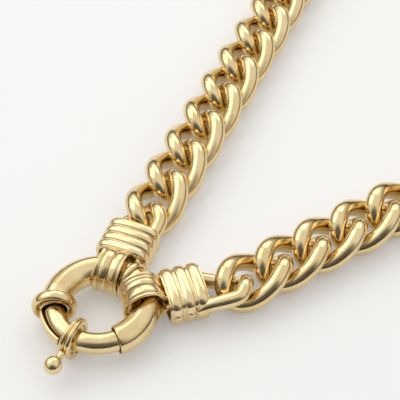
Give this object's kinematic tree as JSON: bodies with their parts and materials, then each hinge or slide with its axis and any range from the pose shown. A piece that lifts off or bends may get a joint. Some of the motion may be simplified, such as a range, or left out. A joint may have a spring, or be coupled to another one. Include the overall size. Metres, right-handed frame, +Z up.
{
  "type": "chain necklace",
  "caption": "Heavy gold curb-link chain necklace closed by a sprung bolt-ring clasp through two ribbed bails.",
  "frame": {"origin": "on the surface the necklace lies on, under the middle of its bounding box", "axes": "+X across the neck opening, +Y from the clasp to the back of the neck, +Z up from the surface"},
  "size_m": [0.1022, 0.2036, 0.0084],
  "materials": {
    "gold": "polished gold plating",
    "steel": "plain spring steel"
  },
  "bodies": {
    "clasp_ring": {"clasp_tube": "gold", "clasp_spring": "steel", "spring_stop": "steel", "end_collar": "gold", "mid_collar": "gold"},
    "clasp_slider": {"clasp_bolt": "gold", "trigger_collar": "gold", "trigger_knob": "gold"},
    "connector_a": {"bail_a": "gold", "cuff_a": "gold", "end_loop_a": "gold"},
    "chain_a01": {"link_a01": "gold"},
    "chain_a02": {"link_a02": "gold"},
    "chain_a03": {"link_a03": "gold"},
    "chain_a04": {"link_a04": "gold"},
    "chain_a05": {"link_a05": "gold"},
    "chain_a06": {"link_a06": "gold"},
    "chain_a07": {"link_a07": "gold"},
    "chain_a08": {"link_a08": "gold"},
    "chain_a09": {"link_a09": "gold"},
    "chain_a10": {"link_a10": "gold"},
    "chain_a11": {"link_a11": "gold"},
    "chain_a12": {"link_a12": "gold"},
    "chain_a13": {"link_a13": "gold"},
    "chain_a14": {"link_a14": "gold"},
    "chain_a15": {"link_a15": "gold"},
    "chain_a16": {"link_a16": "gold"},
    "chain_a17": {"link_a17": "gold"},
    "chain_a18": {"link_a18": "gold"},
    "chain_a19": {"link_a19": "gold"},
    "chain_a20": {"link_a20": "gold"},
    "chain_a21": {"link_a21": "gold"},
    "chain_a22": {"link_a22": "gold"},
    "connector_b": {"bail_b": "gold", "cuff_b": "gold", "end_loop_b": "gold"},
    "chain_b01": {"link_b01": "gold"},
    "chain_b02": {"link_b02": "gold"},
    "chain_b03": {"link_b03": "gold"},
    "chain_b04": {"link_b04": "gold"},
    "chain_b05": {"link_b05": "gold"},
    "chain_b06": {"link_b06": "gold"},
    "chain_b07": {"link_b07": "gold"},
    "chain_b08": {"link_b08": "gold"},
    "chain_b09": {"link_b09": "gold"},
    "chain_b10": {"link_b10": "gold"},
    "chain_b11": {"link_b11": "gold"},
    "chain_b12": {"link_b12": "gold"},
    "chain_b13": {"link_b13": "gold"},
    "chain_b14": {"link_b14": "gold"},
    "chain_b15": {"link_b15": "gold"},
    "chain_b16": {"link_b16": "gold"},
    "chain_b17": {"link_b17": "gold"},
    "chain_b18": {"link_b18": "gold"},
    "chain_b19": {"link_b19": "gold"},
    "chain_b20": {"link_b20": "gold"},
    "chain_b21": {"link_b21": "gold"},
    "chain_b22": {"link_b22": "gold"}
  },
  "joints": [
    {"name": "clasp_slide", "type": "hinge", "parent": "clasp_ring", "child": "clasp_slider", "pos_m": [-0.00376, -0.08571, 0.0041], "axis": [0, 0, 1], "range_deg": [-38, 0], "stiffness_Nm_per_rad": 0.02, "springref_deg": 28.65, "deforming": ["clasp_spring"]},
    {"name": "bail_a_swing", "type": "hinge", "parent": "clasp_ring", "child": "connector_a", "pos_m": [0, -0.07902, 0.0042], "axis": [1, 0, 0], "range_deg": [-6, 12]},
    {"name": "link_a01_hinge", "type": "hinge", "parent": "connector_a", "child": "chain_a01", "pos_m": [0, -0.06564, 0.00367], "axis": [-1, 0, 0], "range_deg": [-9, 6]},
    {"name": "link_a02_hinge", "type": "hinge", "parent": "chain_a01", "child": "chain_a02", "pos_m": [0, -0.05745, 0.00367], "axis": [1, 0, 0], "range_deg": [-7, 9]},
    {"name": "link_a03_hinge", "type": "hinge", "parent": "chain_a02", "child": "chain_a03", "pos_m": [0, -0.04925, 0.00367], "axis": [-1, 0, 0], "range_deg": [-8, 6]},
    {"name": "link_a04_hinge", "type": "hinge", "parent": "chain_a03", "child": "chain_a04", "pos_m": [0, -0.04106, 0.00367], "axis": [1, 0, 0], "range_deg": [-6, 8]},
    {"name": "link_a05_hinge", "type": "hinge", "parent": "chain_a04", "child": "chain_a05", "pos_m": [0, -0.03287, 0.00367], "axis": [-1, 0, 0], "range_deg": [-7.5, 6]},
    {"name": "link_a06_hinge", "type": "hinge", "parent": "chain_a05", "child": "chain_a06", "pos_m": [0, -0.02457, 0.00367], "axis": [1, 0, 0], "range_deg": [-7.5, 7.5]},
    {"name": "link_a07_hinge", "type": "hinge", "parent": "chain_a06", "child": "chain_a07", "pos_m": [0, -0.01617, 0.00367], "axis": [-1, 0, 0], "range_deg": [-7.5, 7.5]},
    {"name": "link_a08_hinge", "type": "hinge", "parent": "chain_a07", "child": "chain_a08", "pos_m": [0, -0.00776, 0.00367], "axis": [1, 0, 0], "range_deg": [-7.5, 7.5]},
    {"name": "link_a09_hinge", "type": "hinge", "parent": "chain_a08", "child": "chain_a09", "pos_m": [0, 0.00065, 0.00367], "axis": [-1, 0, 0], "range_deg": [-7.5, 7.5]},
    {"name": "link_a10_hinge", "type": "hinge", "parent": "chain_a09", "child": "chain_a10", "pos_m": [0, 0.00905, 0.00367], "axis": [1, 0, 0], "range_deg": [-7.5, 7.5]},
    {"name": "link_a11_hinge", "type": "hinge", "parent": "chain_a10", "child": "chain_a11", "pos_m": [0, 0.01746, 0.00367], "axis": [-1, 0, 0], "range_deg": [-7.5, 7.5]},
    {"name": "link_a12_hinge", "type": "hinge", "parent": "chain_a11", "child": "chain_a12", "pos_m": [0, 0.02587, 0.00367], "axis": [1, 0, 0], "range_deg": [-7.5, 7.5]},
    {"name": "link_a13_hinge", "type": "hinge", "parent": "chain_a12", "child": "chain_a13", "pos_m": [0, 0.03427, 0.00367], "axis": [-1, 0, 0], "range_deg": [-6, 7.5]},
    {"name": "link_a14_hinge", "type": "hinge", "parent": "chain_a13", "child": "chain_a14", "pos_m": [0, 0.04278, 0.00367], "axis": [1, 0, 0], "range_deg": [-2, 8]},
    {"name": "link_a15_hinge", "type": "hinge", "parent": "chain_a14", "child": "chain_a15", "pos_m": [0, 0.05153, 0.00367], "axis": [-1, 0, 0], "range_deg": [-8, 2.5]},
    {"name": "link_a16_hinge", "type": "hinge", "parent": "chain_a15", "child": "chain_a16", "pos_m": [0, 0.06025, 0.00367], "axis": [1, 0, 0], "range_deg": [-2.5, 8]},
    {"name": "link_a17_hinge", "type": "hinge", "parent": "chain_a16", "child": "chain_a17", "pos_m": [0, 0.06861, 0.00367], "axis": [-1, 0, 0], "range_deg": [-7, 2.5]},
    {"name": "link_a18_hinge", "type": "hinge", "parent": "chain_a17", "child": "chain_a18", "pos_m": [0, 0.07629, 0.00367], "axis": [1, 0, 0], "range_deg": [-2.5, 7]},
    {"name": "link_a19_hinge", "type": "hinge", "parent": "chain_a18", "child": "chain_a19", "pos_m": [0, 0.08302, 0.00367], "axis": [-1, 0, 0], "range_deg": [-7, 3]},
    {"name": "link_a20_hinge", "type": "hinge", "parent": "chain_a19", "child": "chain_a20", "pos_m": [0, 0.08852, 0.00367], "axis": [1, 0, 0], "range_deg": [-3.5, 7]},
    {"name": "link_a21_hinge", "type": "hinge", "parent": "chain_a20", "child": "chain_a21", "pos_m": [0, 0.09261, 0.00367], "axis": [-1, 0, 0], "range_deg": [-7, 4]},
    {"name": "link_a22_hinge", "type": "hinge", "parent": "chain_a21", "child": "chain_a22", "pos_m": [0, 0.09513, 0.00367], "axis": [1, 0, 0], "range_deg": [-5, 7]},
    {"name": "bail_b_swing", "type": "hinge", "parent": "clasp_ring", "child": "connector_b", "pos_m": [0, -0.07902, 0.0042], "axis": [1, 0, 0], "range_deg": [-6, 12]},
    {"name": "link_b01_hinge", "type": "hinge", "parent": "connector_b", "child": "chain_b01", "pos_m": [0, -0.06564, 0.00367], "axis": [-1, 0, 0], "range_deg": [-9, 6]},
    {"name": "link_b02_hinge", "type": "hinge", "parent": "chain_b01", "child": "chain_b02", "pos_m": [0, -0.05745, 0.00367], "axis": [1, 0, 0], "range_deg": [-7, 9]},
    {"name": "link_b03_hinge", "type": "hinge", "parent": "chain_b02", "child": "chain_b03", "pos_m": [0, -0.04925, 0.00367], "axis": [-1, 0, 0], "range_deg": [-8, 6]},
    {"name": "link_b04_hinge", "type": "hinge", "parent": "chain_b03", "child": "chain_b04", "pos_m": [0, -0.04106, 0.00367], "axis": [1, 0, 0], "range_deg": [-6, 8]},
    {"name": "link_b05_hinge", "type": "hinge", "parent": "chain_b04", "child": "chain_b05", "pos_m": [0, -0.03287, 0.00367], "axis": [-1, 0, 0], "range_deg": [-7.5, 6]},
    {"name": "link_b06_hinge", "type": "hinge", "parent": "chain_b05", "child": "chain_b06", "pos_m": [0, -0.02457, 0.00367], "axis": [1, 0, 0], "range_deg": [-7.5, 7.5]},
    {"name": "link_b07_hinge", "type": "hinge", "parent": "chain_b06", "child": "chain_b07", "pos_m": [0, -0.01617, 0.00367], "axis": [-1, 0, 0], "range_deg": [-7.5, 7.5]},
    {"name": "link_b08_hinge", "type": "hinge", "parent": "chain_b07", "child": "chain_b08", "pos_m": [0, -0.00776, 0.00367], "axis": [1, 0, 0], "range_deg": [-7.5, 7.5]},
    {"name": "link_b09_hinge", "type": "hinge", "parent": "chain_b08", "child": "chain_b09", "pos_m": [0, 0.00065, 0.00367], "axis": [-1, 0, 0], "range_deg": [-7.5, 7.5]},
    {"name": "link_b10_hinge", "type": "hinge", "parent": "chain_b09", "child": "chain_b10", "pos_m": [0, 0.00905, 0.00367], "axis": [1, 0, 0], "range_deg": [-7.5, 7.5]},
    {"name": "link_b11_hinge", "type": "hinge", "parent": "chain_b10", "child": "chain_b11", "pos_m": [0, 0.01746, 0.00367], "axis": [-1, 0, 0], "range_deg": [-7.5, 7.5]},
    {"name": "link_b12_hinge", "type": "hinge", "parent": "chain_b11", "child": "chain_b12", "pos_m": [0, 0.02587, 0.00367], "axis": [1, 0, 0], "range_deg": [-7.5, 7.5]},
    {"name": "link_b13_hinge", "type": "hinge", "parent": "chain_b12", "child": "chain_b13", "pos_m": [0, 0.03427, 0.00367], "axis": [-1, 0, 0], "range_deg": [-6, 7.5]},
    {"name": "link_b14_hinge", "type": "hinge", "parent": "chain_b13", "child": "chain_b14", "pos_m": [0, 0.04278, 0.00367], "axis": [1, 0, 0], "range_deg": [-2, 8]},
    {"name": "link_b15_hinge", "type": "hinge", "parent": "chain_b14", "child": "chain_b15", "pos_m": [0, 0.05153, 0.00367], "axis": [-1, 0, 0], "range_deg": [-8, 2.5]},
    {"name": "link_b16_hinge", "type": "hinge", "parent": "chain_b15", "child": "chain_b16", "pos_m": [0, 0.06025, 0.00367], "axis": [1, 0, 0], "range_deg": [-2.5, 8]},
    {"name": "link_b17_hinge", "type": "hinge", "parent": "chain_b16", "child": "chain_b17", "pos_m": [0, 0.06861, 0.00367], "axis": [-1, 0, 0], "range_deg": [-7, 2.5]},
    {"name": "link_b18_hinge", "type": "hinge", "parent": "chain_b17", "child": "chain_b18", "pos_m": [0, 0.07629, 0.00367], "axis": [1, 0, 0], "range_deg": [-2.5, 7]},
    {"name": "link_b19_hinge", "type": "hinge", "parent": "chain_b18", "child": "chain_b19", "pos_m": [0, 0.08302, 0.00367], "axis": [-1, 0, 0], "range_deg": [-7, 3]},
    {"name": "link_b20_hinge", "type": "hinge", "parent": "chain_b19", "child": "chain_b20", "pos_m": [0, 0.08852, 0.00367], "axis": [1, 0, 0], "range_deg": [-3.5, 7]},
    {"name": "link_b21_hinge", "type": "hinge", "parent": "chain_b20", "child": "chain_b21", "pos_m": [0, 0.09261, 0.00367], "axis": [-1, 0, 0], "range_deg": [-7, 4]},
    {"name": "link_b22_hinge", "type": "hinge", "parent": "chain_b21", "child": "chain_b22", "pos_m": [0, 0.09513, 0.00367], "axis": [1, 0, 0], "range_deg": [-5, 7]}
  ],
  "couplings": [
    {"joint": "bail_b_swing", "follows": "bail_a_swing", "ratio": 1},
    {"joint": "link_b01_hinge", "follows": "link_a01_hinge", "ratio": 1},
    {"joint": "link_b02_hinge", "follows": "link_a02_hinge", "ratio": 1},
    {"joint": "link_b03_hinge", "follows": "link_a03_hinge", "ratio": 1},
    {"joint": "link_b04_hinge", "follows": "link_a04_hinge", "ratio": 1},
    {"joint": "link_b05_hinge", "follows": "link_a05_hinge", "ratio": 1},
    {"joint": "link_b06_hinge", "follows": "link_a06_hinge", "ratio": 1},
    {"joint": "link_b07_hinge", "follows": "link_a07_hinge", "ratio": 1},
    {"joint": "link_b08_hinge", "follows": "link_a08_hinge", "ratio": 1},
    {"joint": "link_b09_hinge", "follows": "link_a09_hinge", "ratio": 1},
    {"joint": "link_b10_hinge", "follows": "link_a10_hinge", "ratio": 1},
    {"joint": "link_b11_hinge", "follows": "link_a11_hinge", "ratio": 1},
    {"joint": "link_b12_hinge", "follows": "link_a12_hinge", "ratio": 1},
    {"joint": "link_b13_hinge", "follows": "link_a13_hinge", "ratio": 1},
    {"joint": "link_b14_hinge", "follows": "link_a14_hinge", "ratio": 1},
    {"joint": "link_b15_hinge", "follows": "link_a15_hinge", "ratio": 1},
    {"joint": "link_b16_hinge", "follows": "link_a16_hinge", "ratio": 1},
    {"joint": "link_b17_hinge", "follows": "link_a17_hinge", "ratio": 1},
    {"joint": "link_b18_hinge", "follows": "link_a18_hinge", "ratio": 1},
    {"joint": "link_b19_hinge", "follows": "link_a19_hinge", "ratio": 1},
    {"joint": "link_b20_hinge", "follows": "link_a20_hinge", "ratio": 1},
    {"joint": "link_b21_hinge", "follows": "link_a21_hinge", "ratio": 1},
    {"joint": "link_b22_hinge", "follows": "link_a22_hinge", "ratio": 1}
  ]
}
